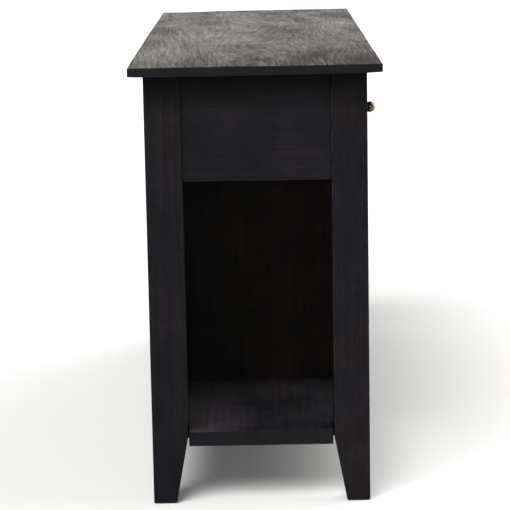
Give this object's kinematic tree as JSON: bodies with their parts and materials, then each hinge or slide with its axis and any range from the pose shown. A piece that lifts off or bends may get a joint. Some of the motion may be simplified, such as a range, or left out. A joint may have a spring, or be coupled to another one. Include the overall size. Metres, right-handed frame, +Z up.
{
  "type": "console table",
  "caption": "Narrow rectangular console table with a thin overhanging top, square legs tapering at the foot, inset drawers with ball knobs, a notched lower shelf and a boarded back.",
  "frame": {"origin": "on the floor, under the middle of the top", "axes": "+X along the length of the table, +Y towards the back, +Z up; the drawers open towards -Y"},
  "size_m": [1.35, 0.42, 0.75],
  "materials": {
    "worn_stained_top": "dark stain worn back to grey, satin",
    "dark_stained_wood": "near-black stain, thin satin wax",
    "drawer_lining_wood": "bare wood, aged",
    "bare_inner_wood": "bare wood, aged",
    "aged_brass": "dull aged brass",
    "steel_screws": "plain steel"
  },
  "bodies": {
    "table_frame": {"back_apron": "dark_stained_wood", "drawer_stops": "bare_inner_wood", "front_low_rail": "dark_stained_wood", "front_top_rail": "dark_stained_wood", "left_drawer_divider": "dark_stained_wood", "left_end_apron": "dark_stained_wood", "left_end_guide": "bare_inner_wood", "left_end_kicker": "bare_inner_wood", "left_end_runner": "bare_inner_wood", "left_front_leg": "dark_stained_wood", "left_front_post": "dark_stained_wood", "left_inner_guide": "bare_inner_wood", "left_inner_kicker": "bare_inner_wood", "left_inner_runner": "bare_inner_wood", "left_partition": "dark_stained_wood", "left_rear_leg": "dark_stained_wood", "lower_back_board": "dark_stained_wood", "lower_shelf": "dark_stained_wood", "middle_back_board": "dark_stained_wood", "right_drawer_divider": "dark_stained_wood", "right_end_apron": "dark_stained_wood", "right_end_guide": "bare_inner_wood", "right_end_kicker": "bare_inner_wood", "right_end_runner": "bare_inner_wood", "right_front_leg": "dark_stained_wood", "right_front_post": "dark_stained_wood", "right_inner_guide": "bare_inner_wood", "right_inner_kicker": "bare_inner_wood", "right_inner_runner": "bare_inner_wood", "right_partition": "dark_stained_wood", "right_rear_leg": "dark_stained_wood", "shelf_dowels": "bare_inner_wood", "table_top": "worn_stained_top", "top_screws": "steel_screws", "upper_back_board": "dark_stained_wood"},
    "left_drawer": {"left_drawer_back": "drawer_lining_wood", "left_drawer_bottom": "drawer_lining_wood", "left_drawer_bottom_screws": "steel_screws", "left_drawer_front": "dark_stained_wood", "left_drawer_knob": "aged_brass", "left_drawer_knob_bolt": "steel_screws", "left_drawer_left_side": "drawer_lining_wood", "left_drawer_right_side": "drawer_lining_wood"},
    "middle_drawer": {"middle_drawer_back": "drawer_lining_wood", "middle_drawer_bottom": "drawer_lining_wood", "middle_drawer_bottom_screws": "steel_screws", "middle_drawer_front": "dark_stained_wood", "middle_drawer_knob": "aged_brass", "middle_drawer_knob_bolt": "steel_screws", "middle_drawer_left_side": "drawer_lining_wood", "middle_drawer_right_side": "drawer_lining_wood"},
    "right_drawer": {"right_drawer_back": "drawer_lining_wood", "right_drawer_bottom": "drawer_lining_wood", "right_drawer_bottom_screws": "steel_screws", "right_drawer_front": "dark_stained_wood", "right_drawer_knob": "aged_brass", "right_drawer_knob_bolt": "steel_screws", "right_drawer_left_side": "drawer_lining_wood", "right_drawer_right_side": "drawer_lining_wood"}
  },
  "joints": [
    {"name": "left_drawer_slide", "type": "slide", "parent": "table_frame", "child": "left_drawer", "axis": [0, -1, 0], "range_m": [0, 0.25]},
    {"name": "middle_drawer_slide", "type": "slide", "parent": "table_frame", "child": "middle_drawer", "axis": [0, -1, 0], "range_m": [0, 0.25]},
    {"name": "right_drawer_slide", "type": "slide", "parent": "table_frame", "child": "right_drawer", "axis": [0, -1, 0], "range_m": [0, 0.25]}
  ]
}
